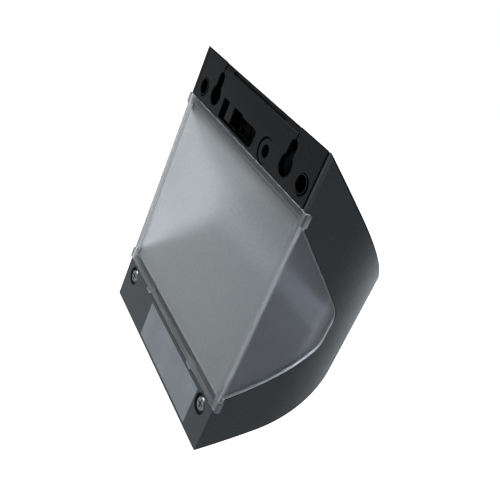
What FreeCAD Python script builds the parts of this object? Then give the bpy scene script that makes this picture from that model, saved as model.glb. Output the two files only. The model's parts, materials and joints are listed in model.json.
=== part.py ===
import FreeCAD, Part
import math
import os

# Wall pack light, in millimetres, as it hangs on a wall: +Z up, the wall plane is Y = 0
# and the light stands out from it along -Y. The origin is midway between the entry
# circles of the two keyholes, on the wall plane. "Reach" is the distance out from the wall.

V = FreeCAD.Vector
X_AXIS = V(1, 0, 0)
Y_AXIS = V(0, 1, 0)
Z_AXIS = V(0, 0, 1)

# Housing: flat sides that run into a half round nose, a sloping top and a rounded belly.
housing_height = 124.8
housing_width = 104.0
side_reach = 22.7            # flat part of each side, out from the wall
top_above_keyholes = 14.0
top_slope = 38.5             # degrees below level where the top leaves the wall
top_fall = 62.7              # height lost by the top from the wall to the nose
belly_slope = 20.3           # degrees above level where the belly leaves the wall
belly_rise = 40.1            # height gained by the belly from the wall to the nose
wall = 1.9
edge_chamfer = 0.8           # edges round the top and the belly
back_edge_radius = 0.8       # long edges at the wall plane
label_panel_height = 20.0
label_panel_thickness = 2.4

# Fits and clearances.
fit_gap = 0.3                # between a loose piece and its opening
screw_gap = 0.1              # round a screw shank in a hole

# Mounting plate at the top of the back.
plate_height = 20.9
plate_thickness = 2.2
plate_side_gap = 0.9
plate_ramp_height = 2.7      # sloping strip along the top edge, from keyhole to keyhole
plate_ramp_depth = 0.4
plate_ramp_edge = 0.3        # the strip's foot is steeper over this height
plate_ramp_edge_depth = 0.15
plate_groove_left = -20.8    # groove in the strip
plate_groove_right = 23.6
plate_groove_drop = 1.0      # below the top edge
plate_groove_width = 1.3
plate_groove_depth = 0.9
plate_slit = 0.7
plate_slit_rise = 1.0        # how far the slits run up into the strip

keyhole_spacing = 62.6
keyhole_entry_radius = 4.2
keyhole_slot_width = 4.9
keyhole_slot_top = 9.5       # top of the slot above the entry centre
screw_head_room = 2.6        # free depth behind the plate at each keyhole
skin_over_head_room = 0.7

cable_window_left = -7.1
cable_window_right = 23.6
cable_window_top = 2.2
cable_window_bottom = -5.9
cable_window_corner = 2.6
cable_window_step_x = 5.9    # the window is lower between here and its left end
cable_window_step = 0.7
tongue_left = 13.6
tongue_right = 18.3
tongue_tip = -4.6

plate_screw_inset = 8.8      # in from the housing's side
plate_screw_z = -0.9
plate_well_radius = 3.1
plate_well_floor = 6.4       # reach of the seat under each screw head
plate_ring_inner = 3.4       # collar round each well, with a crescent relief on one side
plate_ring_outer = 3.9
plate_ring_shift = 0.6
ring_depth = 1.2
centre_screw_x = -17.0
centre_screw_z = -1.7
centre_well_radius = 2.4
centre_well_floor = 3.4
centre_ring_inner = 4.4      # crescent relief on the far side of the centre screw's well
centre_ring_outer = 4.95
centre_ring_shift = -0.7
boss_wall = 1.5

# Diffuser: a pane across the back with a wing down each side.
rim_width = 2.9
rim_height = 1.2
pane_thickness = 2.0
diffuser_proud = 0.3         # wings stand this far out from the housing sides
diffuser_ridge = 0.5         # flat taken off the corner between the pane and each wing
wing_edge = 0.4             # flat taken off the wings' outer edges
tab_height = 4.5
tab_overhang = 1.2
tab_thickness = 2.1
wing_thickness = 2.9
lip_width = 1.5
lip_thickness = 1.2
pry_tab_width = 4.5
pry_tab_height = 1.3
pry_tab_x = 25.5

# Side windows, seen from the side: a slope, an upright front edge and a rounded underside.
window_start_reach = 1.3
window_slope = 44.7
window_front_reach = 34.8
window_front_length = 14.7   # upright front edge, its corners included
window_bottom_margin = 4.8   # above the foot of the pane
window_arc_radius = 88.0
window_top_corner = 11.0
window_bottom_corner = 8.0

# Screws.
screw_radius = 1.45
plate_screw_head_radius = 2.9
plate_screw_head_height = 2.0
plate_screw_length = 7.0
plate_post_wall = 2.2
plate_post_reach = 22.0       # the posts have grown into the sloping top by here
label_screw_inset = 9.2       # in from the housing's side
label_screw_drop = 4.5        # below the top of the label panel
label_screw_head_radius = 2.95
label_screw_head_height = 1.3
label_screw_length = 6.4
label_recess_radius = 4.2
label_recess_depth = 1.5
label_boss_half = 4.6
label_boss_height = 2.0
centre_screw_head_radius = 2.2
centre_screw_head_height = 1.6
centre_screw_length = 7.0
cross_width = 0.75
cross_depth = 0.8
cross_arm_share = 0.62        # of the head's radius
head_edge_share = 0.35        # of the head's height, taken off round its rim

# Bare sticker on the lower back panel.
sticker_width = 55.6
sticker_side_gap = 0.8        # to the left screw's recess
sticker_height = 16.8
sticker_thickness = 0.15
sticker_bottom_margin = 1.4

# Reflector bowl behind the diffuser.
reflector_thickness = 1.6
reflector_gap = 0.4          # to the inner faces of the wings
seal_thickness = 1.0
seal_width = 2.6
shelf_left = -22.4
shelf_right = 14.0
shelf_reach = 12.6
post_width = 7.0
post_reach = 11.4
lug_width = 9.2
lug_thickness = 2.6

# Light source.
led_board_end_gap = 6.2       # to the ends of the reflector
led_board_height = 11.0
led_board_thickness = 1.6
led_count = 6
led_end_margin = 9.5          # from the last light to the end of the board
led_size = 5.0
led_thickness = 0.9
led_lens_radius = 2.0
led_lens_sunk = 0.45
board_screw_inset = 2.5
board_screw_radius = 1.0
board_screw_head_radius = 1.9
board_screw_head_height = 1.1
spreader_end_gap = 5.2        # to the ends of the reflector
spreader_height = 34.0
spreader_thickness = 2.0
spreader_drop = 3.0           # its middle below the row of lights
spreader_corner = 2.4
lead_hole_radius = 1.3
lead_hole_spread = 4.4

# Driver on the far side of the heat spreader.
driver_width = 66.0
driver_height = 38.0
driver_thickness = 1.6
driver_drop = 4.0             # its middle below the row of lights
standoff_height = 6.0
standoff_radius = 2.6
driver_screw_inset = 4.0
driver_screw_radius = 1.25
driver_screw_head_radius = 2.4
driver_screw_head_height = 1.5
driver_screw_bite = 5.0       # into each spacer

# Parts on the driver board; X and up are from the middle of the board.
transformer_x = -6.0
bobbin_width = 18.0
bobbin_height = 16.0
bobbin_foot = 2.0
coil_radius = 6.6
coil_length = 10.0
core_width = 16.0
core_cap = 1.2
core_leg_width = 2.0
core_leg_height = 10.0
core_leg_overhang = 0.4
input_can_x = 12.5
input_can_up = 3.0
input_can_radius = 5.0
input_can_length = 13.5
output_can_x = 12.5
output_can_up = -9.0
output_can_radius = 4.0
output_can_length = 11.5
choke_x = -23.0
choke_up = 4.0
choke_radius = 4.5
choke_length = 9.0
rectifier_x = 23.5
rectifier_width = 5.0
rectifier_height = 7.0
rectifier_thickness = 2.6
fuse_x = 16.5
fuse_edge_gap = 6.5          # from its middle to the board's upper edge
fuse_radius = 1.8
fuse_length = 9.0

# Terminal block behind the cable window.
terminal_width = 18.6
terminal_centre_x = 3.0
terminal_height = 9.4
terminal_depth = 7.0
terminal_front_gap = 2.2     # from the inner face of the plate
terminal_poles = 3
terminal_pitch = 5.8
terminal_screw_radius = 1.5
terminal_wire_half = 1.2
terminal_wire_level = 0.3    # of the block's height
terminal_screw_level = 0.7
terminal_hole_depth = 3.0
terminal_ridge = 0.6
terminal_screw_sunk = 0.6
terminal_slot_width = 0.5

# Insulated leads held inside the housing.
lead_radius = 0.9
lead_sides = 8
lead_bend_share = 0.45       # of the shorter run, used up by each bend
lead_straight = 6.4
lead_drop = 5.4

half_width = housing_width / 2
depth = side_reach + half_width
top_z = top_above_keyholes
bottom_z = top_z - housing_height
plate_bottom_z = top_z - plate_height
pane_top_z = plate_bottom_z - fit_gap
panel_top_z = bottom_z + label_panel_height
pane_bottom_z = panel_top_z + fit_gap
plate_screw_x = half_width - plate_screw_inset
label_screw_x = half_width - label_screw_inset
label_screw_z = panel_top_z - label_screw_drop
window_start_z = pane_top_z - tab_height
window_slope_foot = window_start_z - (window_front_reach - window_start_reach) * math.tan(
    math.radians(window_slope))
window_front_bottom = window_slope_foot - window_front_length
window_bottom = pane_bottom_z + window_bottom_margin
pane_inner_reach = rim_height + pane_thickness
flange_reach = pane_inner_reach + seal_thickness
lip_outer_inset = wall + fit_gap
wing_inner_inset = lip_outer_inset + lip_thickness
reflector_half_width = half_width - wing_inner_inset - reflector_gap
led_board_length = 2 * (reflector_half_width - led_board_end_gap)
led_pitch = (led_board_length - 2 * led_end_margin) / (led_count - 1)
board_screw_x = led_board_length / 2 - board_screw_inset
spreader_width = 2 * (reflector_half_width - spreader_end_gap)
lead_hole_x = 2 * led_pitch   # midway between the last two lights
spreader_reach = window_front_reach + reflector_thickness
driver_reach = spreader_reach + spreader_thickness + standoff_height
parts_reach = driver_reach + driver_thickness
terminal_foot_z = pane_top_z - fit_gap
SPARE = 1.0                  # how far a cutting solid runs past what it cuts


def box(x0, x1, reach0, reach1, z0, z1):
    """Box between two X values, two reaches from the wall and two heights."""
    return Part.makeBox(x1 - x0, reach1 - reach0, z1 - z0, V(x0, -reach1, z0))


def rod(radius, x, z, reach0, reach1):
    """Round bar that runs straight out from the wall."""
    return Part.makeCylinder(radius, reach1 - reach0, V(x, -reach1, z), Y_AXIS)


def bar(sides, radius, x, z, reach0, reach1):
    """Bar with a regular section, measured to its corners, that runs straight out from the wall."""
    corners = [V(x + radius * math.cos(turn), -reach0, z + radius * math.sin(turn))
               for turn in (2 * math.pi * (i + 0.5) / sides for i in range(sides))]
    section = Part.Face(Part.makePolygon(corners + corners[:1]))
    return section.extrude(V(0, reach0 - reach1, 0))


def square_bar(half, x, z, reach0, reach1):
    return box(x - half, x + half, reach0, reach1, z - half, z + half)


def both_sides(shape):
    """A shape and its mirror image across the middle plane."""
    return [shape, shape.mirror(V(0, 0, 0), X_AXIS)]


def fused(shapes):
    first = shapes[0]
    joined = first.fuse(shapes[1:]) if len(shapes) > 1 else first
    return joined.removeSplitter()


def arc_from_tangent(run, rise, slope):
    """Centre offsets and radius of the arc that leaves (0, 0) at a slope and ends at (run, rise)."""
    chord = math.hypot(run, rise)
    chord_angle = math.atan2(rise, run)
    radius = chord / (2 * math.sin(chord_angle - math.radians(slope)))
    return -radius * math.sin(math.radians(slope)), radius * math.cos(math.radians(slope)), radius


def top_height(reach, inset=0.0):
    """Height of the sloping top at a reach, moved inwards by an inset."""
    across, up, radius = arc_from_tangent(depth, top_fall, top_slope)
    return top_z - up + math.sqrt((radius - inset) ** 2 - (reach - across) ** 2)


def belly_height(reach, inset=0.0):
    """Height of the rounded belly at a reach, moved inwards by an inset."""
    across, up, radius = arc_from_tangent(depth, belly_rise, belly_slope)
    return bottom_z + up - math.sqrt((radius - inset) ** 2 - (reach - across) ** 2)


def yz_face(edges):
    return Part.Face(Part.Wire(edges))


def side(reach, z, x=0.0):
    return V(x, -reach, z)


def profile_prism(inset, start):
    """The housing's side view as a prism right across it, from a starting reach."""
    end = depth + SPARE
    mid = (start + end) / 2
    x = -half_width - SPARE
    upper = [side(r, top_height(r, inset), x) for r in (start, mid, end)]
    lower = [side(r, belly_height(r, inset), x) for r in (start, mid, end)]
    edges = [Part.Arc(*upper).toShape(), Part.LineSegment(upper[2], lower[2]).toShape(),
             Part.Arc(*reversed(lower)).toShape(), Part.LineSegment(lower[0], upper[0]).toShape()]
    return yz_face(edges).extrude(V(housing_width + 2 * SPARE, 0, 0))


def plan_prism(inset, start=0.0):
    """The housing's plan, flat sides and a half round nose, as an upright prism."""
    half = half_width - inset
    nose = V(0, -side_reach, bottom_z - SPARE)
    upright = V(0, 0, housing_height + 2 * SPARE)
    sides = Part.makeBox(2 * half, side_reach - start, upright.z, V(-half, -side_reach, nose.z))
    return sides.fuse(Part.makeCylinder(half, upright.z, nose, Z_AXIS)).removeSplitter()


def at_back(edge):
    return all(abs(v.Point.y) < 1e-6 for v in edge.Vertexes)


def is_upright(edge):
    ends = [v.Point for v in edge.Vertexes]
    return len(ends) == 2 and math.hypot(ends[0].x - ends[1].x, ends[0].y - ends[1].y) < 1e-6


def outer_form():
    """The closed outside form, with its edges broken."""
    form = plan_prism(0).common(profile_prism(0, 0)).removeSplitter()
    form = form.makeChamfer(edge_chamfer, [e for e in form.Edges if not at_back(e) and not is_upright(e)])
    return form.cut(both_sides(back_edge_waste()))


def back_edge_waste():
    """What rounding takes off the long upright edge beside the wall."""
    low = bottom_z - SPARE
    height = housing_height + 2 * SPARE
    inside = half_width - back_edge_radius
    corner = box(inside, half_width + SPARE, -SPARE, back_edge_radius, low, low + height)
    return corner.cut(Part.makeCylinder(back_edge_radius, height, V(inside, -back_edge_radius, low), Z_AXIS))


def window_centre():
    """Centre of the arc under the side window, as reach and height."""
    drop = window_front_bottom - window_bottom
    run = window_front_reach - window_start_reach
    chord = math.hypot(run, drop)
    away = math.sqrt(window_arc_radius ** 2 - chord ** 2 / 4)
    return (window_start_reach + run / 2 - away * drop / chord,
            window_bottom + drop / 2 + away * run / chord)


def window_prism(grow, start, x0, x1):
    """The side window's outline, grown evenly, as a prism from x0 to x1."""
    slope = math.radians(window_slope)
    centre_reach, centre_z = window_centre()
    radius = window_arc_radius + grow
    front = window_front_reach + grow

    def slope_z(reach):
        return window_start_z + grow / math.cos(slope) - (reach - window_start_reach) * math.tan(slope)

    def arc_z(reach):
        return centre_z - math.sqrt(radius ** 2 - (reach - centre_reach) ** 2)

    corners = [side(start, slope_z(start), x0), side(front, slope_z(front), x0),
               side(front, arc_z(front), x0), side(start, arc_z(start), x0)]
    mid = (start + front) / 2
    edges = [Part.LineSegment(corners[0], corners[1]).toShape(),
             Part.LineSegment(corners[1], corners[2]).toShape(),
             Part.Arc(corners[2], side(mid, arc_z(mid), x0), corners[3]).toShape(),
             Part.LineSegment(corners[3], corners[0]).toShape()]
    prism = yz_face(edges).extrude(V(x1 - x0, 0, 0))
    for corner, corner_radius in ((corners[1], window_top_corner), (corners[2], window_bottom_corner)):
        close = [e for e in prism.Edges
                 if all(math.hypot(v.Y - corner.y, v.Z - corner.z) < 1e-6 for v in e.Vertexes)]
        prism = prism.makeFillet(corner_radius + grow, close)
    return prism


def window_across(grow, start):
    return window_prism(grow, start, -half_width - 2 * SPARE, half_width + 2 * SPARE)


def housing_shell():
    """Moulded shell: sides, nose, top, belly and the lower back panel in one piece."""
    form = outer_form()
    inner = half_width - wall
    cavity = plan_prism(wall, -SPARE).common(profile_prism(wall, -SPARE))
    label_panel = box(-half_width, half_width, -2 * SPARE, label_panel_thickness, bottom_z, panel_top_z)
    shell = form.cut(cavity.cut(label_panel))
    shell = shell.cut(box(-inner, inner, -SPARE, plate_thickness, plate_bottom_z, top_z + SPARE))
    window = window_prism(0, -SPARE, half_width / 2, half_width + 2 * SPARE)
    shell = shell.cut(both_sides(window))
    shell = shell.cut(box(-half_width - SPARE, half_width + SPARE, -SPARE, tab_thickness + fit_gap / 2,
                          panel_top_z, plate_bottom_z))
    shell = fused([shell] + plate_bosses(form) + label_bosses())
    shell = shell.cut(head_rooms(form) + screw_holes() + pry_pockets())
    shell = shell.cut(sticker_solid())
    return shell


def plate_bosses(form):
    """Posts that the plate screws bite into; they grow out of the sloping top."""
    post = square_bar(screw_radius + plate_post_wall, plate_screw_x, plate_screw_z,
                      plate_boss_end(), plate_post_reach)
    web = box(plate_screw_x, half_width - wall / 2, plate_boss_end(), plate_post_reach,
              plate_screw_z - wall / 2, plate_screw_z + wall / 2)
    return [s for piece in (post, web) for s in both_sides(piece.common(form))]


def plate_boss_end():
    return plate_well_floor + boss_wall


def label_bosses():
    boss = square_bar(label_boss_half, label_screw_x, label_screw_z, label_panel_thickness / 2,
                      label_panel_thickness + label_boss_height)
    return both_sides(boss)


def head_rooms(form):
    """Pockets behind the keyholes for the heads of the wall screws."""
    rooms = []
    for x in (-keyhole_spacing / 2, keyhole_spacing / 2):
        low = rod(keyhole_entry_radius + fit_gap, x, 0, plate_thickness, plate_thickness + screw_head_room)
        high = box(x - keyhole_entry_radius, x + keyhole_entry_radius, plate_thickness,
                   plate_thickness + screw_head_room, 0, top_z)
        skin = profile_prism(skin_over_head_room, 0)
        rooms.append(low.fuse(high).common(skin))
    return rooms


def screw_holes():
    holes = both_sides(rod(screw_radius, plate_screw_x, plate_screw_z, plate_boss_end() - SPARE,
                           plate_well_floor + plate_screw_length + SPARE))
    end = label_panel_thickness + label_boss_height
    recess = rod(label_recess_radius, label_screw_x, label_screw_z, -SPARE, label_recess_depth)
    hole = rod(screw_radius + screw_gap, label_screw_x, label_screw_z, 0, end + SPARE)
    return holes + both_sides(recess) + both_sides(hole)


def pry_tabs(gap):
    """Two small tabs under the pane, where a blade lifts the diffuser out."""
    tab = box(pry_tab_x - pry_tab_width / 2 - gap, pry_tab_x + pry_tab_width / 2 + gap, -gap,
              tab_thickness + gap, pane_bottom_z - pry_tab_height - gap, pane_bottom_z + SPARE / 2)
    return both_sides(tab)


def pry_pockets():
    return pry_tabs(fit_gap)


def keyhole(x):
    entry = rod(keyhole_entry_radius, x, 0, -SPARE, plate_thickness + SPARE)
    half = keyhole_slot_width / 2
    end_z = keyhole_slot_top - half
    end = rod(half, x, end_z, -SPARE, plate_thickness + SPARE)
    slot = box(x - half, x + half, -SPARE, plate_thickness + SPARE, 0, end_z)
    return fused([entry, slot, end])


def cable_window():
    """Opening for the supply wires, with a tongue hanging from its upper edge."""
    through = (-SPARE, plate_thickness + SPARE)
    window = box(cable_window_left, cable_window_right, *through, cable_window_bottom, cable_window_top)
    left_corners = [e for e in window.Edges
                    if runs_outwards(e) and abs(e.Vertexes[0].X - cable_window_left) < 1e-6]
    window = window.makeFillet(cable_window_corner, left_corners)
    ledge = box(cable_window_left - SPARE, cable_window_step_x, *through,
                cable_window_top - cable_window_step, cable_window_top + SPARE)
    tongue = box(tongue_left, tongue_right, *through, tongue_tip, cable_window_top + SPARE)
    return window.cut(ledge).cut(tongue)


def runs_outwards(edge):
    first, last = edge.Vertexes
    return abs(first.Z - last.Z) < 1e-6 and abs(first.X - last.X) < 1e-6


def crescent_relief(x, z, inner, outer, shift):
    """Groove round part of a screw well; its outer circle lies a shift towards -X of the inner one."""
    return rod(outer, x - shift, z, -SPARE, ring_depth).cut(rod(inner, x, z, -2 * SPARE, ring_depth + SPARE))


def mounting_plate():
    """Plate that hangs on the wall screws and carries the cable window."""
    half = half_width - wall - plate_side_gap
    plate = outer_form().common(box(-half, half, 0, plate_thickness, plate_bottom_z, top_z + SPARE))
    wells = both_sides(square_bar(plate_well_radius + boss_wall, plate_screw_x, plate_screw_z,
                                  0, plate_boss_end()))
    centre = square_bar(centre_well_radius + boss_wall, centre_screw_x, centre_screw_z,
                        0, centre_boss_end())
    under_top = profile_prism(wall + fit_gap, 0).fuse(
        box(-half, half, 0, plate_thickness, plate_bottom_z, top_z))
    plate = fused([plate] + [w.common(under_top) for w in wells + [centre]])
    cuts = [keyhole(-keyhole_spacing / 2), keyhole(keyhole_spacing / 2), cable_window()]
    for x in (-plate_screw_x, plate_screw_x):
        cuts.append(rod(plate_well_radius, x, plate_screw_z, -SPARE, plate_well_floor))
        cuts.append(rod(screw_radius + screw_gap, x, plate_screw_z, 0, plate_boss_end() + SPARE))
        cuts.append(crescent_relief(x, plate_screw_z, plate_ring_inner, plate_ring_outer, plate_ring_shift))
    cuts.append(rod(centre_well_radius, centre_screw_x, centre_screw_z, -SPARE, centre_well_floor))
    cuts.append(rod(screw_radius + screw_gap, centre_screw_x, centre_screw_z, 0, centre_boss_end() + SPARE))
    cuts.append(crescent_relief(centre_screw_x, centre_screw_z, centre_ring_inner, centre_ring_outer,
                                centre_ring_shift))
    cuts.append(top_ramp(-keyhole_spacing / 2, keyhole_spacing / 2))
    groove_top = top_z - plate_groove_drop
    cuts.append(box(plate_groove_left, plate_groove_right, -SPARE, plate_groove_depth,
                    groove_top - plate_groove_width, groove_top))
    slit_end = top_z - plate_ramp_height + plate_slit_rise
    for x in (-keyhole_spacing / 2, keyhole_spacing / 2):
        cuts.append(box(x - plate_slit / 2, x + plate_slit / 2, -SPARE, ring_depth,
                        keyhole_slot_top - SPARE, slit_end))
    return plate.cut(cuts)


def top_ramp(x0, x1):
    """Wedge that makes the plate's face slope away to its top edge, between two X values."""
    low = top_z - plate_ramp_height
    points = [side(0, low, x0), side(plate_ramp_edge_depth, low + plate_ramp_edge, x0),
              side(plate_ramp_depth, top_z, x0), side(plate_ramp_depth, top_z + SPARE, x0),
              side(-SPARE, top_z + SPARE, x0), side(-SPARE, low, x0)]
    return Part.Face(Part.makePolygon(points + points[:1])).extrude(V(x1 - x0, 0, 0))


def centre_boss_end():
    return centre_well_floor + boss_wall


def wings():
    """Both side wings: they fill the windows and carry an inner lip round them."""
    filler = plan_prism(-diffuser_proud, rim_height).cut(
        plan_prism(wing_thickness - diffuser_proud, 0)).common(window_across(-fit_gap, rim_height))
    filler = filler.makeChamfer(wing_edge, [e for e in filler.Edges if is_wing_rim(e)])
    lip = plan_prism(lip_outer_inset, rim_height).cut(
        plan_prism(wing_inner_inset, 0)).common(window_across(lip_width, rim_height))
    keep_below = box(-housing_width, housing_width, -SPARE, depth, pane_bottom_z, pane_top_z)
    return [filler, lip.common(keep_below)]


def is_wing_rim(edge):
    """True for the edges round a wing's outer face, away from the pane."""
    middle = edge.valueAt((edge.FirstParameter + edge.LastParameter) / 2)
    across = math.hypot(middle.x, max(-middle.y - side_reach, 0))
    level = edge.BoundBox.YLength < 1e-3
    is_seam = level and abs(middle.y + side_reach) < 1e-6
    at_pane = level and abs(middle.y + rim_height) < 1e-6
    return abs(across - half_width - diffuser_proud) < 1e-6 and not is_seam and not at_pane


def diffuser():
    """One clear moulding: a pane with a raised rim, corner tabs and two side wings."""
    edge = half_width + diffuser_proud
    pane = box(-edge, edge, 0, tab_thickness, pane_bottom_z, pane_top_z)
    ridges = [e for e in pane.Edges if at_back(e) and is_upright(e)]
    pane = pane.makeChamfer(diffuser_ridge, ridges)
    inner_edge = half_width - lip_outer_inset
    pane = pane.fuse(box(-inner_edge, inner_edge, 0, pane_inner_reach, pane_bottom_z, pane_top_z))
    tabs = []
    for z0, z1 in ((pane_top_z - tab_height, pane_top_z), (pane_bottom_z, pane_bottom_z + tab_height)):
        tabs.append(box(-half_width - tab_overhang, half_width + tab_overhang, 0, tab_thickness, z0, z1))
    body = fused([pane] + wings() + tabs + pry_tabs(0))
    recess = box(-edge + rim_width, edge - rim_width, -SPARE, rim_height,
                 pane_bottom_z + rim_width, pane_top_z - rim_width)
    return body.cut(recess)


def seals():
    """Soft strips under the top and the foot of the pane, against the reflector's flanges."""
    half = reflector_half_width
    top = box(-half, half, pane_inner_reach, flange_reach, pane_top_z - fit_gap - seal_width,
              pane_top_z - fit_gap)
    foot = box(-half, half, pane_inner_reach, flange_reach, pane_bottom_z + fit_gap,
               pane_bottom_z + fit_gap + seal_width)
    return Part.makeCompound([top, foot])


def reflector():
    """Bowl behind the diffuser, open to the pane and to both wings, with its flanges, shelf, post and lugs."""
    half = reflector_half_width
    across = (-half, half)
    bowl = window_prism(reflector_thickness, flange_reach, *across).cut(
        window_prism(0, flange_reach - SPARE, -half - SPARE, half + SPARE))
    back = (flange_reach, flange_reach + reflector_thickness)
    upper_z = bowl_edge_z(True)
    lower_z = bowl_edge_z(False)
    shelf_z = pane_top_z - fit_gap
    flanges = [box(*across, *back, upper_z, shelf_z), box(*across, *back, pane_bottom_z + fit_gap, lower_z)]
    shelf = box(shelf_left, shelf_right, flange_reach, shelf_reach, shelf_z - reflector_thickness, shelf_z)
    post = box(centre_screw_x - post_width / 2, centre_screw_x + post_width / 2,
               centre_boss_end(), post_reach,
               shelf_z - reflector_thickness, centre_screw_z + post_width / 2)
    post = post.common(profile_prism(wall + fit_gap, 0))
    lug_reach = label_panel_thickness + label_boss_height
    lug = box(reflector_half_width - lug_width, reflector_half_width, lug_reach, lug_reach + lug_thickness,
              label_screw_z - lug_width / 2, lower_z)
    body = fused([bowl, shelf, post] + flanges + both_sides(lug))
    slot = box(-led_board_length / 2 - fit_gap, led_board_length / 2 + fit_gap, window_front_reach - SPARE,
               spreader_reach + SPARE, led_centre_z() - led_board_height / 2 - fit_gap,
               led_centre_z() + led_board_height / 2 + fit_gap)
    body = body.common(plan_prism(wing_inner_inset + reflector_gap))
    holes = [rod(screw_radius, centre_screw_x, centre_screw_z, 0, post_reach + SPARE)]
    holes += both_sides(rod(screw_radius, label_screw_x, label_screw_z, 0, lug_reach + lug_thickness + SPARE))
    return body.cut([slot] + holes)


def bowl_edge_z(upper):
    """Height of the bowl's wall where it meets its back flange."""
    slope = math.radians(window_slope)
    if upper:
        return window_start_z - (flange_reach - window_start_reach) * math.tan(slope)
    centre_reach, centre_z = window_centre()
    return centre_z - math.sqrt(window_arc_radius ** 2 - (flange_reach - centre_reach) ** 2)


def led_centre_z():
    """Middle of the flat front of the bowl."""
    slope = math.radians(window_slope)
    upper = window_slope_foot - window_top_corner * math.tan((math.pi / 2 - slope) / 2)
    centre_reach, centre_z = window_centre()
    lean = math.asin((window_front_reach - centre_reach) / window_arc_radius)
    lower = window_front_bottom + window_bottom_corner * math.tan((math.pi / 2 - lean) / 2)
    return (upper + lower) / 2


def led_board():
    z = led_centre_z()
    board = box(-led_board_length / 2, led_board_length / 2, spreader_reach - led_board_thickness,
                spreader_reach, z - led_board_height / 2, z + led_board_height / 2)
    holes = both_sides(rod(board_screw_radius + screw_gap, board_screw_x, z, 0, depth))
    return board.cut(holes)


def leds():
    """Square light sources in a row, each a frame round a sunk eight-sided lens."""
    face = spreader_reach - led_board_thickness
    z = led_centre_z()
    group = []
    for i in range(led_count):
        x = (i - (led_count - 1) / 2) * led_pitch
        body = box(x - led_size / 2, x + led_size / 2, face - led_thickness, face,
                   z - led_size / 2, z + led_size / 2)
        group.append(body.cut(bar(8, led_lens_radius, x, z, 0, face - led_thickness + led_lens_sunk)))
    return Part.makeCompound(group)


def pan_screw(x, z, head_reach, head_radius, head_height, shank_radius, length):
    """Cross-head screw driven from the wall side; head_reach is the seat under its head."""
    top = head_reach - head_height
    head = rod(head_radius, x, z, top, head_reach)
    rim = [e for e in head.Edges if len(e.Vertexes) == 1 and abs(e.CenterOfMass.y + top) < 1e-6]
    head = head.makeChamfer(head_height * head_edge_share, rim)
    arm = head_radius * cross_arm_share
    thin = cross_width / 2
    cross = [box(x - arm, x + arm, top - SPARE, top + cross_depth, z - thin, z + thin),
             box(x - thin, x + thin, top - SPARE, top + cross_depth, z - arm, z + arm)]
    shank = rod(shank_radius, x, z, head_reach - head_height / 2, head_reach + length)
    return fused([head, shank]).cut(cross)


def plate_screws():
    return Part.makeCompound([pan_screw(x, plate_screw_z, plate_well_floor, plate_screw_head_radius,
                                        plate_screw_head_height, screw_radius - screw_gap, plate_screw_length)
                              for x in (-plate_screw_x, plate_screw_x)])


def centre_screw():
    return pan_screw(centre_screw_x, centre_screw_z, centre_well_floor, centre_screw_head_radius,
                     centre_screw_head_height, screw_radius - screw_gap, centre_screw_length)


def label_screws():
    return Part.makeCompound([pan_screw(x, label_screw_z, label_recess_depth, label_screw_head_radius,
                                        label_screw_head_height, screw_radius - screw_gap, label_screw_length)
                              for x in (-label_screw_x, label_screw_x)])


def board_screws():
    z = led_centre_z()
    seat = spreader_reach - led_board_thickness
    end = seat + led_board_thickness + spreader_thickness
    return Part.makeCompound([
        fused([bar(6, board_screw_head_radius, x, z, seat - board_screw_head_height, seat),
               rod(board_screw_radius, x, z, seat - board_screw_head_height / 2, end)])
        for x in (-board_screw_x, board_screw_x)])


def driver_corners():
    across = driver_width / 2 - driver_screw_inset
    up = driver_height / 2 - driver_screw_inset
    return [(sx * across, driver_z(sz * up)) for sx in (-1, 1) for sz in (-1, 1)]


def driver_z(up=0.0):
    """Height of a place on the driver board, given from its middle."""
    return led_centre_z() - driver_drop + up


def heat_spreader():
    middle = led_centre_z() - spreader_drop
    plate = box(-spreader_width / 2, spreader_width / 2, spreader_reach, spreader_reach + spreader_thickness,
                middle - spreader_height / 2, middle + spreader_height / 2)
    corners = [e for e in plate.Edges if abs(e.Length - spreader_thickness) < 1e-6]
    plate = plate.makeFillet(spreader_corner, corners)
    holes = both_sides(rod(board_screw_radius + screw_gap, board_screw_x, led_centre_z(), 0, depth))
    holes += [bar(lead_sides, lead_hole_radius, lead_hole_x, z, 0, depth) for z in led_lead_heights()]
    return plate.cut(holes)


def driver_standoffs():
    """Six-sided spacers that stand on the heat spreader."""
    base = spreader_reach + spreader_thickness
    return Part.makeCompound([bar(6, standoff_radius, x, z, base, driver_reach).cut(
        rod(driver_screw_radius, x, z, 0, depth)) for x, z in driver_corners()])


def driver_board():
    board = box(-driver_width / 2, driver_width / 2, driver_reach, parts_reach,
                driver_z(-driver_height / 2), driver_z(driver_height / 2))
    holes = [rod(driver_screw_radius + screw_gap, x, z, 0, depth) for x, z in driver_corners()]
    return board.cut(holes)


def driver_screws():
    """Screws from the nose side, through the driver board and into its spacers."""
    group = []
    tip = driver_reach - driver_screw_bite
    for x, z in driver_corners():
        head = bar(6, driver_screw_head_radius, x, z, parts_reach, parts_reach + driver_screw_head_height)
        shank = rod(driver_screw_radius - screw_gap, x, z, tip, parts_reach + driver_screw_head_height / 2)
        group.append(fused([head, shank]))
    return Part.makeCompound(group)


def transformer():
    """Small switching transformer: a bobbin, its coil, and a core that goes round both."""
    x = transformer_x
    z = driver_z()
    coil_start = parts_reach + bobbin_foot
    coil_end = coil_start + coil_length
    bobbin = box(x - bobbin_width / 2, x + bobbin_width / 2, parts_reach, coil_start,
                 z - bobbin_height / 2, z + bobbin_height / 2)
    coil = rod(coil_radius, x, z, coil_start, coil_end)
    cap = box(x - core_width / 2, x + core_width / 2, coil_end, coil_end + core_cap,
              z - bobbin_height / 2, z + bobbin_height / 2)
    leg_outside = bobbin_width / 2 + core_leg_overhang
    legs = [box(x + side_x, x + side_x + core_leg_width, coil_start, coil_end,
                z - core_leg_height / 2, z + core_leg_height / 2)
            for side_x in (-leg_outside, leg_outside - core_leg_width)]
    return fused([bobbin, coil, cap] + legs)


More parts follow.
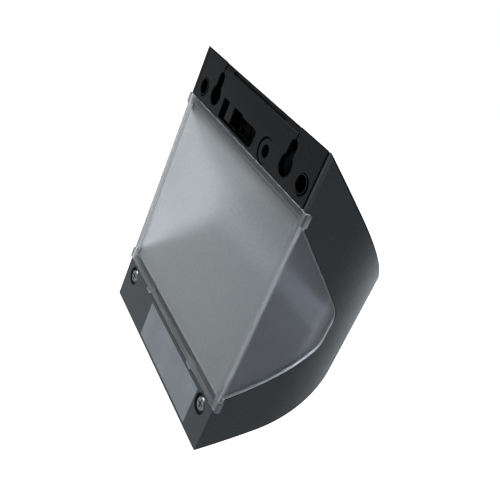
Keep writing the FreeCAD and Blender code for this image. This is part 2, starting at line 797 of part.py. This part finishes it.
def standing_part(x, up, radius, length):
    """Round part that stands on the driver board."""
    return rod(radius, x, driver_z(up), parts_reach, parts_reach + length)


def input_capacitor():
    return standing_part(input_can_x, input_can_up, input_can_radius, input_can_length)


def output_capacitor():
    return standing_part(output_can_x, output_can_up, output_can_radius, output_can_length)


def choke():
    return standing_part(choke_x, choke_up, choke_radius, choke_length)


def rectifier():
    return box(rectifier_x - rectifier_width / 2, rectifier_x + rectifier_width / 2,
               parts_reach, parts_reach + rectifier_thickness,
               driver_z(-rectifier_height / 2), driver_z(rectifier_height / 2))


def fuse_resistor():
    """Axial fusible resistor lying on the board."""
    z = driver_z(driver_height / 2 - fuse_edge_gap)
    start = side(parts_reach + fuse_radius, z, fuse_x - fuse_length / 2)
    return Part.makeCylinder(fuse_radius, fuse_length, start, X_AXIS)


def terminal_block():
    """Three-pole block on the reflector's shelf, its wire entries facing the cable window."""
    x0 = terminal_centre_x - terminal_width / 2
    x1 = terminal_centre_x + terminal_width / 2
    near = plate_thickness + terminal_front_gap
    foot = terminal_foot_z
    block = box(x0, x1, near, near + terminal_depth, foot, foot + terminal_height)
    cuts = []
    for x in pole_centres():
        cuts.append(square_bar(terminal_wire_half, x, foot + terminal_height * terminal_wire_level,
                               near - SPARE, near + terminal_hole_depth))
        cuts.append(rod(terminal_screw_radius + screw_gap, x, foot + terminal_height * terminal_screw_level,
                        near - SPARE, near + terminal_hole_depth))
    ridge = box(x0, x1, near - terminal_ridge, near, foot + terminal_height / 2 - terminal_ridge / 2,
                foot + terminal_height / 2 + terminal_ridge / 2)
    return block.cut(cuts).fuse(ridge).removeSplitter()


def pole_centres():
    middle = (terminal_poles - 1) / 2
    return [terminal_centre_x + (i - middle) * terminal_pitch for i in range(terminal_poles)]


def terminal_screws():
    near = plate_thickness + terminal_front_gap
    z = terminal_foot_z + terminal_height * terminal_screw_level
    group = []
    for x in pole_centres():
        screw = rod(terminal_screw_radius, x, z, near + terminal_screw_sunk, near + terminal_hole_depth)
        slot = box(x - terminal_screw_radius, x + terminal_screw_radius, near, near + 2 * terminal_screw_sunk,
                   z - terminal_slot_width / 2, z + terminal_slot_width / 2)
        group.append(screw.cut(slot))
    return Part.makeCompound(group)


def lead(points):
    """Insulated wire along straight runs joined by tangent arcs; it starts straight out from the wall."""
    edges = []
    start = points[0]
    for before, corner, after in zip(points, points[1:], points[2:]):
        into = (corner - before).normalize()
        out = (after - corner).normalize()
        half_turn = math.acos(into.dot(out)) / 2
        cut = lead_bend_share * min((corner - before).Length, (after - corner).Length)
        radius = cut / math.tan(half_turn)
        first = corner - into * cut
        last = corner + out * cut
        inwards = (out - into).normalize()
        middle = corner + inwards * (math.hypot(cut, radius) - radius)
        edges.append(Part.LineSegment(start, first).toShape())
        edges.append(Part.Arc(first, middle, last).toShape())
        start = last
    edges.append(Part.LineSegment(start, points[-1]).toShape())
    turns = [2 * math.pi * (i + 0.5) / lead_sides for i in range(lead_sides)]
    section = [points[0] + V(lead_radius * math.cos(turn), 0, lead_radius * math.sin(turn)) for turn in turns]
    ring = Part.makePolygon(section + section[:1])
    return Part.Wire(edges).makePipeShell([ring], True, False)


def mains_leads():
    """Two leads from the far side of the terminal block down to the driver board's top edge."""
    far = plate_thickness + terminal_front_gap + terminal_depth
    z = terminal_foot_z + terminal_height * terminal_wire_level
    board_top = driver_z(driver_height / 2)
    board_middle = driver_reach + driver_thickness / 2
    poles = pole_centres()
    return Part.makeCompound([
        lead([side(far, z, x), side(far + lead_straight, z, x), side(board_middle, board_top + lead_drop, x),
              side(board_middle, board_top, x)]) for x in (poles[0], poles[-1])])


def led_lead_heights():
    return [led_centre_z() - lead_hole_spread / 2, led_centre_z() + lead_hole_spread / 2]


def led_leads():
    """Two short leads from the light board, through the spreader, to the driver board."""
    return Part.makeCompound([bar(lead_sides, lead_radius, lead_hole_x, z, spreader_reach, driver_reach)
                              for z in led_lead_heights()])


def sticker_solid():
    z = bottom_z + sticker_bottom_margin
    left = -label_screw_x + label_recess_radius + sticker_side_gap
    return box(left, left + sticker_width, 0, sticker_thickness, z, z + sticker_height)


NODES = {
    "housing_shell": housing_shell,
    "mounting_plate": mounting_plate,
    "plate_screws": plate_screws,
    "centre_screw": centre_screw,
    "terminal_block": terminal_block,
    "terminal_screws": terminal_screws,
    "diffuser": diffuser,
    "diffuser_seals": seals,
    "reflector": reflector,
    "reflector_screws": label_screws,
    "rating_sticker": sticker_solid,
    "led_board": led_board,
    "leds": leds,
    "led_board_screws": board_screws,
    "heat_spreader": heat_spreader,
    "driver_standoffs": driver_standoffs,
    "driver_board": driver_board,
    "driver_screws": driver_screws,
    "transformer": transformer,
    "input_capacitor": input_capacitor,
    "output_capacitor": output_capacitor,
    "inductor": choke,
    "rectifier": rectifier,
    "fuse_resistor": fuse_resistor,
    "mains_leads": mains_leads,
    "led_leads": led_leads,
}

os.makedirs("parts", exist_ok=True)
for name, make in NODES.items():
    shape = make()
    shape.exportStep("parts/" + name + ".step")
    print(name, "valid", shape.isValid(), "solids", len(shape.Solids), "volume", round(shape.Volume, 1))
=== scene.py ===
import json
import math

import bpy
from mathutils import Matrix, Vector


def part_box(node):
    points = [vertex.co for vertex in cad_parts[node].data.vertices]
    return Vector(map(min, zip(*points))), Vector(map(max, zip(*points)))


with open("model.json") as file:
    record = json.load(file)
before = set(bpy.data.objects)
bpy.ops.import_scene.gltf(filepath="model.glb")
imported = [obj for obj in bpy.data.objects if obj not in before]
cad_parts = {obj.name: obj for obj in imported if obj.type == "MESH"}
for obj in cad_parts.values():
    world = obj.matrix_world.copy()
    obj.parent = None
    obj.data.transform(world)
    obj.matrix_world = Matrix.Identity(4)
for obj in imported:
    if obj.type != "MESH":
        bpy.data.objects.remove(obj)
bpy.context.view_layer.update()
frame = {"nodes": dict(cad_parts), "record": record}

MM = 0.001

# Places on the diffuser, in its own frame.
PANE_HALF_WIDTH = 52.3 * MM
RIM_WIDTH = 2.9 * MM
STEP_SHADOW_SPAN = (-0.15 * MM, 0.3 * MM)         # the step's painted shadow, either side of the rim's inner edge
PRY_TAB_HEIGHT = 1.3 * MM
TAB_BLUR = 0.1 * MM
BEYOND_TABS = -5.0 * MM                    # further out than any tab reaches
PANE_DEPTHS = (-3.4 * MM, -3.0 * MM)       # the wings lie deeper, the pane less deep
SHADE_HEIGHT = 5.0 * MM                    # shaded strip of the pane under its top rim
WING_LIGHT_HEIGHTS = (-60.0 * MM, -90.0 * MM)    # painted light: the wings get paler between these heights, as if lit from below
CHAMFERS_FROM = (48.5 * MM, 49.0 * MM)     # out from the middle
CHAMFER_SLANTS = (0.55, 0.85)              # sideways part of a chamfer's normal
CHAMFER_SLANT_BLUR = 0.02

# Tones of the diffuser.
PANE_TONES = ((0.70, 0.72, 0.725), (0.77, 0.79, 0.795))
# Painted shade on the upper wings, and painted light from below at their foot.
WING_SHADE_TONE = (0.60, 0.62, 0.65)
WING_FOOT_LIGHT_TONE = (0.76, 0.78, 0.80)
FLECK_TONE = (0.30, 0.31, 0.33)
SHADE_TONE = (0.22, 0.23, 0.24)
RIM_TONE = (0.52, 0.54, 0.56)
# painted shadow of the rim's inner step
STEP_SHADOW_TONE = (0.20, 0.21, 0.22)
TAB_TONE = (0.13, 0.14, 0.16)
# painted highlight along the chamfers
CHAMFER_HIGHLIGHT_TONE = (0.32, 0.34, 0.36)
OWN_TONE_IN_FLECKS = (0.70, 1.0)           # share of it in the darkest and in the palest flecks
SHADE_SHARE = 0.7                          # of SHADE_TONE in the mix, right under the rim

# How the diffuser lets light through.
DIFFUSER_IOR = 1.30
DIFFUSER_TRANSMISSION = (0.93, 0.5)        # on its faces and on its chamfers, where less goes through as part of their painted highlight
DIFFUSER_ROUGHNESS = (0.30, 0.36)

# The label, and the painted shade in the plate's recesses.
LABEL_TONES = ((0.15, 0.16, 0.175), (0.185, 0.20, 0.215))
LABEL_METALLIC = 0.55
LABEL_ROUGHNESS = (0.40, 0.52)
RECESS_SHADE_TONE = (0.0005, 0.0005, 0.0005)
RECESS_SHADE_BLUR = 0.3 * MM

# Noises, each as its features per metre and its detail.
PLASTIC_PATCHES = (45, 4)
PLASTIC_FLECKS = (1500, 1)
PLASTIC_SHEEN = (160, 3)
METAL_PATCHES = (260, 4)
LABEL_PATCHES = (90, 5)
LABEL_SHEEN = (700, 3)
LABEL_GRAIN = (1200, 3)
PANE_PATCHES = (30, 3)
DIFFUSER_FLECKS = (900, 3)
DIFFUSER_SHEEN = (2000, 2)
DIFFUSER_GRAIN = (3500, 2)
GRAIN_DETAIL = 2
METAL_SHEEN_DETAIL = 3
NOISE_SPAN = (0.3, 0.7)                    # holds most of a noise's values

# How rounded the edges look.
PLASTIC_EDGE = 0.25 * MM
METAL_EDGE = 0.15 * MM
DIFFUSER_EDGE = 0.3 * MM

# Stage and light, in metres.
WHITE = (1.0, 1.0, 1.0)
COOL = (0.90, 0.96, 1.0)
FLOOR_TONE = (0.9, 0.9, 0.9)
FLOOR_TONE_REFLECTED = (0.22, 0.24, 0.25)
FLOOR_ROUGHNESS = 0.8
FLOOR_HEIGHT = -0.40
FLOOR_HALF_SIZE = 3.0
BRIGHT_PATCH = (0.15, -1.35)               # middle of what reflections find brightest
BRIGHT_PATCH_RADII = (0.3, 1.1)            # full strength within, gone beyond
BRIGHT_PATCH_GLOW = (0.38, 2.0)            # strength beyond and within
BRIGHT_PATCH_FALLOFF = 2.0                 # power of the fade between the radii
SOFT_PATCH = (0.5, 0.5)                    # middle of the fainter glow on the wall's side
SOFT_PATCH_RADIUS = 1.25
SOFT_PATCH_GLOW = 0.42
WORLD_STRENGTH = 0.55
SKY_RISE = (0.45, 0.9)                     # upward part of the directions where the sky brightens
SKY_GLOW = (0.02, 0.8)                     # strength below and above them, in reflections
LIGHT_TARGET = (0, -0.03, -0.05)

CAMERA_PLACE = (-0.2191, 0.1357, 0.0677)
CAMERA_VIEW = (0.7411, -0.5390, -0.4003)
CAMERA_ROLL = math.radians(23.86)
CAMERA_LENS = 51.63
CAMERA_SENSOR = 36.0


# ---------------------------------------------------------------- shader building blocks

# Sockets of a mix node: the factor, then its numbers and its colours, and the result of each.
MIX_FACTOR = 0
MIX_NUMBERS = (2, 3)
MIX_COLOURS = (6, 7)
MIXED_NUMBER = 0
MIXED_COLOUR = 2


def new_material(name):
    mat = bpy.data.materials.new(name)
    mat.use_nodes = True
    tree = mat.node_tree
    return mat, tree, tree.nodes["Principled BSDF"]


def feed(tree, value, socket):
    """Sets a socket to a number, or links another socket to it."""
    if isinstance(value, (int, float)):
        socket.default_value = value
    else:
        tree.links.new(value, socket)


def split(tree, vector):
    """X, Y and Z outputs of a vector socket."""
    parts = tree.nodes.new("ShaderNodeSeparateXYZ")
    tree.links.new(vector, parts.inputs[0])
    return parts.outputs


def coordinates(tree, kind):
    return tree.nodes.new("ShaderNodeTexCoord").outputs[kind]


def place_on_object(tree):
    """X, Y and Z of the shaded point, in metres in the object's own frame."""
    return split(tree, coordinates(tree, "Object"))


def noise(tree, scale, detail):
    """Noise over the object's own coordinates; scale is in features per metre."""
    tex = tree.nodes.new("ShaderNodeTexNoise")
    tex.inputs["Scale"].default_value = scale
    tex.inputs["Detail"].default_value = detail
    tex.inputs["Roughness"].default_value = 0.5
    tree.links.new(coordinates(tree, "Object"), tex.inputs["Vector"])
    return tex.outputs["Fac"]


def ramp(tree, factor, low, high):
    """Colour that goes from low to high over most of a noise's values."""
    node = tree.nodes.new("ShaderNodeValToRGB")
    ends = node.color_ramp.elements
    for end, position, colour in zip(ends, NOISE_SPAN, (low, high)):
        end.position = position
        end.color = (*colour, 1)
    tree.links.new(factor, node.inputs["Fac"])
    return node.outputs["Color"]


def remap(tree, value, start, end, low=0.0, high=1.0):
    """Goes from low to high while the value goes from start to end, and stays level outside."""
    node = tree.nodes.new("ShaderNodeMapRange")
    for label, number in (("From Min", start), ("From Max", end), ("To Min", low), ("To Max", high)):
        node.inputs[label].default_value = number
    tree.links.new(value, node.inputs["Value"])
    return node.outputs["Result"]


def spread(tree, factor, low, high):
    """Maps a 0 to 1 factor to a range."""
    return remap(tree, factor, 0.0, 1.0, low, high)


def calc(tree, operation, *values):
    """Math node over numbers or sockets."""
    node = tree.nodes.new("ShaderNodeMath")
    node.operation = operation
    for value, socket in zip(values, node.inputs):
        feed(tree, value, socket)
    return node.outputs[0]


def blend(tree, factor, off, on):
    """Colour that goes from one to the other with a 0 to 1 factor."""
    node = tree.nodes.new("ShaderNodeMix")
    node.data_type = "RGBA"
    tree.links.new(factor, node.inputs[MIX_FACTOR])
    for colour, index in zip((off, on), MIX_COLOURS):
        if isinstance(colour, tuple):
            node.inputs[index].default_value = (*colour, 1)
        else:
            tree.links.new(colour, node.inputs[index])
    return node.outputs[MIXED_COLOUR]


def choose(tree, factor, off, on):
    """Number that goes from one to the other with a 0 to 1 factor."""
    node = tree.nodes.new("ShaderNodeMix")
    feed(tree, factor, node.inputs[MIX_FACTOR])
    for value, index in zip((off, on), MIX_NUMBERS):
        feed(tree, value, node.inputs[index])
    return node.outputs[MIXED_NUMBER]


def band(tree, value, start, end, blur=0.15 * MM):
    """1 between two values, 0 outside them, with soft ends."""
    rise = remap(tree, value, start - blur, start + blur)
    fall = remap(tree, value, end - blur, end + blur, 1.0, 0.0)
    return calc(tree, "MULTIPLY", rise, fall)


def bump(tree, bsdf, height, strength, depth, soft_edge=0.0):
    """Relief from a height, over edges that look rounded by soft_edge."""
    node = tree.nodes.new("ShaderNodeBump")
    node.inputs["Strength"].default_value = strength
    node.inputs["Distance"].default_value = depth
    tree.links.new(height, node.inputs["Height"])
    if soft_edge:
        bevel = tree.nodes.new("ShaderNodeBevel")
        bevel.samples = 4
        bevel.inputs["Radius"].default_value = soft_edge
        tree.links.new(bevel.outputs["Normal"], node.inputs["Normal"])
    tree.links.new(node.outputs["Normal"], bsdf.inputs["Normal"])


# ---------------------------------------------------------------- materials

def moulded(name, dark, light, rough=(0.38, 0.48), grain=2600, strength=0.35, gloss=0.5,
            depth=0.03 * MM, painted_shade_from=None):
    """Moulded plastic with slight changes of tone; grain is its relief's features per metre.

    Given a depth in Y, all that lies deeper in than that is painted near black, as shade in the recesses.
    """
    mat, tree, bsdf = new_material(name)
    bsdf.inputs["Specular IOR Level"].default_value = gloss
    patches = calc(tree, "MULTIPLY", noise(tree, *PLASTIC_PATCHES), 0.5)
    flecks = calc(tree, "MULTIPLY", noise(tree, *PLASTIC_FLECKS), 0.5)
    colour = ramp(tree, calc(tree, "ADD", patches, flecks), dark, light)
    # painted shade: near black deeper in than the given Y
    if painted_shade_from is not None:
        reach = place_on_object(tree)["Y"]
        recess_shade = remap(tree, reach, painted_shade_from, painted_shade_from - RECESS_SHADE_BLUR)
        colour = blend(tree, recess_shade, colour, RECESS_SHADE_TONE)
    tree.links.new(colour, bsdf.inputs["Base Color"])
    tree.links.new(spread(tree, noise(tree, *PLASTIC_SHEEN), *rough), bsdf.inputs["Roughness"])
    bump(tree, bsdf, noise(tree, grain, GRAIN_DETAIL), strength, depth, PLASTIC_EDGE)
    return mat


def metal(name, dark, light, rough=(0.25, 0.42), grain=900):
    """Plated or bare metal with slight changes of tone and sheen."""
    mat, tree, bsdf = new_material(name)
    bsdf.inputs["Metallic"].default_value = 1.0
    tree.links.new(ramp(tree, noise(tree, *METAL_PATCHES), dark, light), bsdf.inputs["Base Color"])
    sheen = noise(tree, grain, METAL_SHEEN_DETAIL)
    tree.links.new(spread(tree, sheen, *rough), bsdf.inputs["Roughness"])
    relief = noise(tree, grain, GRAIN_DETAIL)
    bump(tree, bsdf, relief, strength=0.2, depth=0.02 * MM, soft_edge=METAL_EDGE)
    return mat


def foil(name):
    """Bare silver label stock."""
    mat, tree, bsdf = new_material(name)
    bsdf.inputs["Metallic"].default_value = LABEL_METALLIC
    tree.links.new(ramp(tree, noise(tree, *LABEL_PATCHES), *LABEL_TONES), bsdf.inputs["Base Color"])
    sheen = noise(tree, *LABEL_SHEEN)
    tree.links.new(spread(tree, sheen, *LABEL_ROUGHNESS), bsdf.inputs["Roughness"])
    bump(tree, bsdf, noise(tree, *LABEL_GRAIN), strength=0.1, depth=0.02 * MM)
    return mat


def chamfers(tree):
    """1 on the small slanting faces round the wings, beyond the pane."""
    sideways = calc(tree, "ABSOLUTE", split(tree, coordinates(tree, "Normal"))["X"])
    slant = band(tree, sideways, *CHAMFER_SLANTS, CHAMFER_SLANT_BLUR)
    from_middle = calc(tree, "ABSOLUTE", place_on_object(tree)["X"])
    return calc(tree, "MULTIPLY", slant, remap(tree, from_middle, *CHAMFERS_FROM))


def diffuser_tone(tree):
    """Pale pane and wings with fine flecks, a greyer rim and dark tabs; painted shade under the top rim
    and a painted shadow along the rim's inner step; wings painted darker above and paler towards their
    foot, as light from below.
    """
    low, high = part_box("diffuser")
    x, y, z = place_on_object(tree)
    to_side = calc(tree, "SUBTRACT", PANE_HALF_WIDTH, calc(tree, "ABSOLUTE", x))
    to_foot = calc(tree, "SUBTRACT", z, low[2] + PRY_TAB_HEIGHT)
    to_top = calc(tree, "SUBTRACT", high[2], z)
    to_edge = calc(tree, "MINIMUM", to_side, calc(tree, "MINIMUM", to_foot, to_top))
    to_side_or_top = calc(tree, "MINIMUM", to_side, to_top)
    on_pane = remap(tree, y, *PANE_DEPTHS)

    flecks = remap(tree, noise(tree, *DIFFUSER_FLECKS), *NOISE_SPAN, *OWN_TONE_IN_FLECKS)
    # painted shade on the pane under its top rim
    shade = remap(tree, to_top, RIM_WIDTH, RIM_WIDTH + SHADE_HEIGHT, SHADE_SHARE, 0.0)
    rim = band(tree, to_edge, BEYOND_TABS, RIM_WIDTH)
    # painted shadow along the rim's inner step, at the sides and top
    step_shadow = band(tree, to_side_or_top, *(RIM_WIDTH + offset for offset in STEP_SHADOW_SPAN))
    tabs = remap(tree, to_side, TAB_BLUR, -TAB_BLUR)

    pane = ramp(tree, noise(tree, *PANE_PATCHES), *PANE_TONES)
    # painted light and shade on the wings: darker above, paler towards the foot
    wing_light_and_shade = blend(tree, remap(tree, z, *WING_LIGHT_HEIGHTS), WING_SHADE_TONE, WING_FOOT_LIGHT_TONE)
    tone = blend(tree, on_pane, wing_light_and_shade, pane)
    tone = blend(tree, flecks, FLECK_TONE, tone)
    # painted shade under the top rim, the greyer rim, and the painted shadow of its step, on the pane
    # only
    for area, colour in ((shade, SHADE_TONE), (rim, RIM_TONE), (step_shadow, STEP_SHADOW_TONE)):
        tone = blend(tree, calc(tree, "MULTIPLY", area, on_pane), tone, colour)
    return blend(tree, tabs, tone, TAB_TONE)


def frosted(name):
    """Clear moulding with a frosted face; its chamfers get their own tone and let less light through, as
    a painted highlight along them.
    """
    mat, tree, bsdf = new_material(name)
    bsdf.inputs["IOR"].default_value = DIFFUSER_IOR
    # painted highlight: the chamfers get their own tone and less transmission
    chamfer_highlight = chamfers(tree)
    tone = blend(tree, chamfer_highlight, diffuser_tone(tree), CHAMFER_HIGHLIGHT_TONE)
    tree.links.new(tone, bsdf.inputs["Base Color"])
    clearness = spread(tree, chamfer_highlight, *DIFFUSER_TRANSMISSION)
    tree.links.new(clearness, bsdf.inputs["Transmission Weight"])
    sheen = noise(tree, *DIFFUSER_SHEEN)
    tree.links.new(spread(tree, sheen, *DIFFUSER_ROUGHNESS), bsdf.inputs["Roughness"])
    relief = noise(tree, *DIFFUSER_GRAIN)
    bump(tree, bsdf, relief, strength=0.25, depth=0.03 * MM, soft_edge=DIFFUSER_EDGE)
    return mat


MOULDED_LOOKS = {
    "housing_plastic": dict(dark=(0.0070, 0.0088, 0.0102), light=(0.0095, 0.0118, 0.0135),
                            rough=(0.40, 0.48), grain=1300, strength=0.8, gloss=0.40,
                            depth=0.15 * MM),
    # the plate's recesses are painted near black as shade
    "plate_plastic": dict(dark=(0.0032, 0.0036, 0.0039), light=(0.0050, 0.0056, 0.0061),
                          rough=(0.30, 0.38), grain=1300, strength=0.8, gloss=0.10,
                          depth=0.15 * MM, painted_shade_from=-0.4 * MM),
    # reflector: dark grey rather than its white, as painted shade inside the lamp seen through the
    # diffuser
    "reflector_plastic": dict(dark=(0.035, 0.039, 0.043), light=(0.045, 0.05, 0.055),
                              rough=(0.35, 0.45), grain=1500, strength=0.1),
    # terminal block: black plastic, darkened to near black as painted shade inside the cable window
    "terminal_plastic": dict(dark=(0.0008, 0.0008, 0.0008), light=(0.0015, 0.0015, 0.0015),
                             gloss=0.02),
    "seal_rubber": dict(dark=(0.62, 0.62, 0.60), light=(0.70, 0.70, 0.68),
                        rough=(0.7, 0.9), grain=1500, strength=0.4),
    "board_white": dict(dark=(0.36, 0.37, 0.47), light=(0.44, 0.45, 0.57),
                        rough=(0.3, 0.4), grain=900, strength=0.1),
    "led_lens": dict(dark=(0.34, 0.33, 0.28), light=(0.42, 0.41, 0.34),
                     rough=(0.2, 0.3), grain=700, strength=0.1),
    "standoff_nylon": dict(dark=(0.74, 0.73, 0.68), light=(0.82, 0.81, 0.77)),
    "board_green": dict(dark=(0.02, 0.13, 0.05), light=(0.03, 0.19, 0.08),
                        rough=(0.25, 0.35), grain=1200, strength=0.3),
    "ferrite": dict(dark=(0.05, 0.045, 0.045), light=(0.10, 0.09, 0.08),
                    rough=(0.5, 0.7), grain=1800, strength=0.5),
    "can_sleeve": dict(dark=(0.015, 0.02, 0.05), light=(0.03, 0.035, 0.08),
                       rough=(0.2, 0.3), grain=700, strength=0.1),
    "resin_black": dict(dark=(0.012, 0.012, 0.012), light=(0.02, 0.02, 0.02)),
    "resistor_body": dict(dark=(0.10, 0.18, 0.14), light=(0.16, 0.25, 0.20)),
    "lead_sleeve": dict(dark=(0.12, 0.04, 0.02), light=(0.17, 0.06, 0.03),
                        rough=(0.4, 0.5), grain=1200, strength=0.1),
    "led_lead_sleeve": dict(dark=(0.5, 0.03, 0.02), light=(0.6, 0.05, 0.04),
                            rough=(0.4, 0.5), grain=1200, strength=0.1),
}
METAL_LOOKS = {
    # black screws, made near black also to paint the shade in the wells and window they sit in
    "blackened_steel": dict(dark=(0.012, 0.012, 0.013), light=(0.03, 0.03, 0.032)),
    "zinc_steel": dict(dark=(0.12, 0.125, 0.13), light=(0.22, 0.225, 0.23)),
    "spreader_aluminium": dict(dark=(0.62, 0.63, 0.64), light=(0.74, 0.75, 0.76)),
}


def all_materials():
    """One material for each of the record's slots, by name."""
    made = {name: moulded(name, **look) for name, look in MOULDED_LOOKS.items()}
    made.update({name: metal(name, **look) for name, look in METAL_LOOKS.items()})
    made["sticker"] = foil("sticker")
    made["frosted_diffuser"] = frosted("frosted_diffuser")
    return made


def dress_nodes(materials):
    """Every CAD node gets the material of its slot."""
    for part in frame["record"]["subparts"]:
        mesh = frame["nodes"][part["node"]].data
        mesh.materials.clear()
        mesh.materials.append(materials[part["material_slot"]])


# ---------------------------------------------------------------- stage, light and camera

def add_to_scene(name, data):
    obj = bpy.data.objects.new(name, data)
    bpy.context.scene.collection.objects.link(obj)
    return obj


def area_light(name, place, size, power):
    """Round lamp that faces the middle of the object."""
    light = bpy.data.lights.new(name, "AREA")
    light.shape = "DISK"
    light.size = size
    light.energy = power
    light.color = COOL
    obj = add_to_scene(name, light)
    obj.location = place
    aim = Vector(LIGHT_TARGET) - Vector(place)
    obj.rotation_euler = aim.to_track_quat("-Z", "Y").to_euler()


def white_to_viewer(tree, reflected, others):
    """Strength 1 for camera and transmission rays, given strengths for glossy and other rays."""
    path = tree.nodes.new("ShaderNodeLightPath")
    unseen = choose(tree, path.outputs["Is Glossy Ray"], others, reflected)
    seen = calc(tree, "MAXIMUM", path.outputs["Is Camera Ray"], path.outputs["Is Transmission Ray"])
    return choose(tree, seen, unseen, 1.0)


def white_world():
    """White all round; reflections find it bright only overhead."""
    world = bpy.data.worlds.new("studio")
    bpy.context.scene.world = world
    world.use_nodes = True
    tree = world.node_tree
    background = tree.nodes["Background"]
    background.inputs["Color"].default_value = (*WHITE, 1)
    upward = split(tree, coordinates(tree, "Generated"))["Z"]
    reflected = remap(tree, upward, *SKY_RISE, *SKY_GLOW)
    strength = white_to_viewer(tree, reflected, WORLD_STRENGTH)
    tree.links.new(strength, background.inputs["Strength"])


def distance_on_floor(tree, patch):
    """Distance of the shaded point of the floor from the middle of a patch."""
    length = tree.nodes.new("ShaderNodeVectorMath")
    length.operation = "DISTANCE"
    length.inputs[1].default_value = (*patch, FLOOR_HEIGHT)
    tree.links.new(coordinates(tree, "Object"), length.inputs[0])
    return length.outputs["Value"]


def floor_glow(tree):
    """What reflections find on the floor: a bright patch and a fainter one."""
    fade = remap(tree, distance_on_floor(tree, BRIGHT_PATCH), *BRIGHT_PATCH_RADII, 1.0, 0.0)
    bright = spread(tree, calc(tree, "POWER", fade, BRIGHT_PATCH_FALLOFF), *BRIGHT_PATCH_GLOW)
    soft = remap(tree, distance_on_floor(tree, SOFT_PATCH), 0.0, SOFT_PATCH_RADIUS, SOFT_PATCH_GLOW, 0.0)
    return calc(tree, "ADD", bright, soft)


def floor_material():
    """White to the viewer and through the diffuser, darker in reflections."""
    mat, tree, bsdf = new_material("pale_floor")
    path = tree.nodes.new("ShaderNodeLightPath")
    reflected = calc(tree, "SUBTRACT", path.outputs["Is Glossy Ray"], path.outputs["Is Transmission Ray"])
    paint = blend(tree, reflected, FLOOR_TONE, FLOOR_TONE_REFLECTED)
    tree.links.new(paint, bsdf.inputs["Base Color"])
    tree.links.new(blend(tree, reflected, WHITE, COOL), bsdf.inputs["Emission Color"])
    strength = white_to_viewer(tree, floor_glow(tree), 0.0)
    tree.links.new(strength, bsdf.inputs["Emission Strength"])
    bsdf.inputs["Roughness"].default_value = FLOOR_ROUGHNESS
    return mat


def floor():
    mesh = bpy.data.meshes.new("floor")
    near, far, z = -FLOOR_HALF_SIZE, FLOOR_HALF_SIZE, FLOOR_HEIGHT
    corners = [(near, near, z), (far, near, z), (far, far, z), (near, far, z)]
    mesh.from_pydata(corners, [], [(0, 1, 2, 3)])
    mesh.materials.append(floor_material())
    obj = add_to_scene("floor", mesh)


def camera():
    """Camera that looks along CAMERA_VIEW, turned about it by CAMERA_ROLL."""
    data = bpy.data.cameras.new("camera")
    data.sensor_width = CAMERA_SENSOR
    data.lens = CAMERA_LENS
    obj = add_to_scene("camera", data)
    level = Vector(CAMERA_VIEW).to_track_quat("-Z", "Y").to_matrix()
    turned = level @ Matrix.Rotation(CAMERA_ROLL, 3, "Z")
    obj.matrix_world = Matrix.Translation(CAMERA_PLACE) @ turned.to_4x4()
    bpy.context.scene.camera = obj


dress_nodes(all_materials())
bpy.context.scene.view_settings.view_transform = "Standard"
white_world()
floor()
area_light("key", place=(0.35, 0.55, 0.35), size=0.5, power=5.0)
area_light("fill", place=(-0.6, 0.2, 0.1), size=0.6, power=2.0)
camera()
